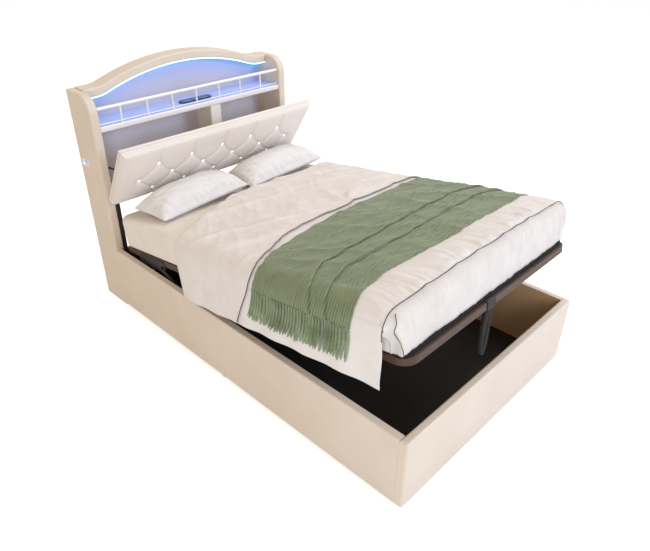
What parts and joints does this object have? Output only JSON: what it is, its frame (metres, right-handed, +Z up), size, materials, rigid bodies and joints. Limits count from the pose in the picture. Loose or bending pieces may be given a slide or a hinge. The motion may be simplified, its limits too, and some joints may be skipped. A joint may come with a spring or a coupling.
{
  "type": "storage bed",
  "caption": "Lift-up storage bed with an arched bookcase headboard, a tufted fold-down flap, a sprung slat platform and its mattress and bedding.",
  "frame": {"origin": "on the floor under the middle of the whole bed's bounding box", "axes": "+X across the bed to the right seen from the foot, +Y from the footboard to the headboard, +Z up"},
  "size_m": [1.3308, 2.184, 1.274],
  "materials": {
    "ivory_leather": "soft grained synthetic leather, satin",
    "button_leather": "covered button, satin",
    "white_board": "white laminated board, satin",
    "back_board": "white laminated board lit by a cool strip",
    "black_board": "black laminated board, satin",
    "floor_board": "dark laminated board, matte",
    "batten_wood": "planed softwood",
    "slat_wood": "bent beech laminate, satin",
    "light_strip": "frosted light diffuser",
    "white_metal": "white powder coat",
    "black_steel": "black powder coat, satin",
    "strut_black": "black gloss paint",
    "rod_chrome": "ground and chromed",
    "bolt_steel": "zinc plated",
    "panel_plastic": "moulded, satin gloss",
    "socket_plastic": "moulded, matte",
    "switch_metal": "brushed, anodised",
    "plate_plastic": "moulded, satin gloss",
    "cap_plastic": "moulded cover cap",
    "holder_plastic": "moulded, matte",
    "glide_plastic": "moulded, matte",
    "webbing": "woven webbing",
    "mattress_fabric": "fitted cotton sheet",
    "pillow_cotton": "washed cotton",
    "duvet_cotton": "washed cotton",
    "throw_knit": "woven blanket with a fringe"
  },
  "bodies": {
    "bed_frame": {"headboard_post_left": "ivory_leather", "headboard_post_right": "ivory_leather", "headboard_back_panel": "back_board", "arch_crown": "ivory_leather", "arch_light_strip": "light_strip", "display_shelf": "white_board", "shelf_guard_rail": "white_metal", "charging_panel": "panel_plastic", "charging_sockets": "socket_plastic", "shelf_touch_switch": "switch_metal", "compartment_divider": "ivory_leather", "compartment_floor": "white_board", "headboard_stiles": "black_board", "head_crossboard": "black_board", "side_control_plate": "plate_plastic", "post_cover_caps": "cap_plastic", "side_rail_left_head": "ivory_leather", "side_rail_left_foot": "ivory_leather", "side_rail_right_head": "ivory_leather", "side_rail_right_foot": "ivory_leather", "footboard": "ivory_leather", "corner_brackets": "black_steel", "bracket_bolts": "bolt_steel", "storage_floor_head": "floor_board", "storage_floor_foot": "floor_board", "floor_battens": "batten_wood", "base_glides": "glide_plastic", "lift_base_left": "black_steel", "lift_base_right": "black_steel", "flap_hinge_leaves": "bolt_steel", "stay_anchor_plates": "bolt_steel"},
    "flap": {"flap_board": "white_board", "flap_cushion": "ivory_leather", "flap_buttons": "button_leather", "flap_hinge_straps": "bolt_steel", "flap_stay_brackets": "bolt_steel"},
    "platform": {"platform_frame": "black_steel", "platform_cross_bars": "black_steel", "lift_top_bar_left": "black_steel", "lift_top_bar_right": "black_steel", "slats": "slat_wood", "slat_holders": "holder_plastic", "pull_strap": "webbing", "mattress": "mattress_fabric", "pillow_left": "pillow_cotton", "pillow_right": "pillow_cotton", "duvet": "duvet_cotton", "throw": "throw_knit"},
    "lift_arm_left": {"lift_arm_left": "black_steel"},
    "lift_link_left": {"lift_link_left": "black_steel"},
    "strut_cylinder_left": {"strut_cylinder_left": "strut_black"},
    "strut_rod_left": {"strut_rod_left": "rod_chrome"},
    "stay_lower_left": {"stay_lower_left": "bolt_steel"},
    "stay_upper_left": {"stay_upper_left": "bolt_steel"},
    "lift_arm_right": {"lift_arm_right": "black_steel"},
    "lift_link_right": {"lift_link_right": "black_steel"},
    "strut_cylinder_right": {"strut_cylinder_right": "strut_black"},
    "strut_rod_right": {"strut_rod_right": "rod_chrome"},
    "stay_lower_right": {"stay_lower_right": "bolt_steel"},
    "stay_upper_right": {"stay_upper_right": "bolt_steel"}
  },
  "joints": [
    {"name": "lift_arm_left_hinge", "type": "hinge", "parent": "bed_frame", "child": "lift_arm_left", "pos_m": [0, 0.15509, 0.26442], "axis": [1, 0, 0], "range_deg": [-18.06, 42.74]},
    {"name": "platform_hinge", "type": "hinge", "parent": "lift_arm_left", "child": "platform", "pos_m": [0, 0.49494, 0.38317], "axis": [1, 0, 0], "range_deg": [-63.3, 26.9]},
    {"name": "lift_arm_right_hinge", "type": "hinge", "parent": "bed_frame", "child": "lift_arm_right", "pos_m": [0, 0.15509, 0.26442], "axis": [1, 0, 0], "range_deg": [-18.16, 42.84]},
    {"name": "lift_link_left_hinge", "type": "hinge", "parent": "bed_frame", "child": "lift_link_left", "pos_m": [0, 0.4472, 0.23911], "axis": [1, 0, 0], "range_deg": [-22.7, 53.5]},
    {"name": "strut_left_hinge", "type": "hinge", "parent": "bed_frame", "child": "strut_cylinder_left", "pos_m": [0, 0.46798, 0.13997], "axis": [1, 0, 0], "range_deg": [-17.3, 40.8]},
    {"name": "strut_left_slide", "type": "slide", "parent": "strut_cylinder_left", "child": "strut_rod_left", "axis": [0, 0.6337, 0.7736], "range_m": [-0.0362, 0.0854]},
    {"name": "lift_link_right_hinge", "type": "hinge", "parent": "bed_frame", "child": "lift_link_right", "pos_m": [0, 0.4472, 0.23911], "axis": [1, 0, 0], "range_deg": [-22.7, 53.5]},
    {"name": "strut_right_hinge", "type": "hinge", "parent": "bed_frame", "child": "strut_cylinder_right", "pos_m": [0, 0.46798, 0.13997], "axis": [1, 0, 0], "range_deg": [-17.3, 40.8]},
    {"name": "strut_right_slide", "type": "slide", "parent": "strut_cylinder_right", "child": "strut_rod_right", "axis": [0, 0.6337, 0.7736], "range_m": [-0.0362, 0.0854]},
    {"name": "flap_hinge", "type": "hinge", "parent": "bed_frame", "child": "flap", "pos_m": [0, 0.885, 0.648], "axis": [1, 0, 0], "range_deg": [-32, 0]},
    {"name": "stay_lower_left_hinge", "type": "hinge", "parent": "bed_frame", "child": "stay_lower_left", "pos_m": [0, 1.038, 0.7], "axis": [1, 0, 0], "range_deg": [-46.4, 0.1]},
    {"name": "stay_upper_left_hinge", "type": "hinge", "parent": "stay_lower_left", "child": "stay_upper_left", "pos_m": [0, 0.92916, 0.80437], "axis": [1, 0, 0], "range_deg": [-0.1, 53.9]},
    {"name": "stay_lower_right_hinge", "type": "hinge", "parent": "bed_frame", "child": "stay_lower_right", "pos_m": [0, 1.038, 0.7], "axis": [1, 0, 0], "range_deg": [-46.4, 0.1]},
    {"name": "stay_upper_right_hinge", "type": "hinge", "parent": "stay_lower_right", "child": "stay_upper_right", "pos_m": [0, 0.92916, 0.80437], "axis": [1, 0, 0], "range_deg": [-0.1, 53.9]}
  ],
  "couplings": [
    {"joint": "platform_hinge", "follows": "lift_arm_left_hinge", "ratio": -1.4764},
    {"joint": "lift_arm_right_hinge", "follows": "lift_arm_left_hinge", "ratio": 1},
    {"joint": "lift_link_left_hinge", "follows": "lift_arm_left_hinge", "ratio": 1.246},
    {"joint": "strut_left_hinge", "follows": "lift_arm_left_hinge", "ratio": 0.949},
    {"joint": "strut_left_slide", "follows": "lift_arm_left_hinge", "m_per_rad": 0.1139},
    {"joint": "lift_link_right_hinge", "follows": "lift_arm_left_hinge", "ratio": 1.246},
    {"joint": "strut_right_hinge", "follows": "lift_arm_left_hinge", "ratio": 0.949},
    {"joint": "strut_right_slide", "follows": "lift_arm_left_hinge", "m_per_rad": 0.1139},
    {"joint": "stay_lower_left_hinge", "follows": "flap_hinge", "ratio": 1.447},
    {"joint": "stay_upper_left_hinge", "follows": "flap_hinge", "ratio": -1.681},
    {"joint": "stay_lower_right_hinge", "follows": "flap_hinge", "ratio": 1.447},
    {"joint": "stay_upper_right_hinge", "follows": "flap_hinge", "ratio": -1.681}
  ]
}
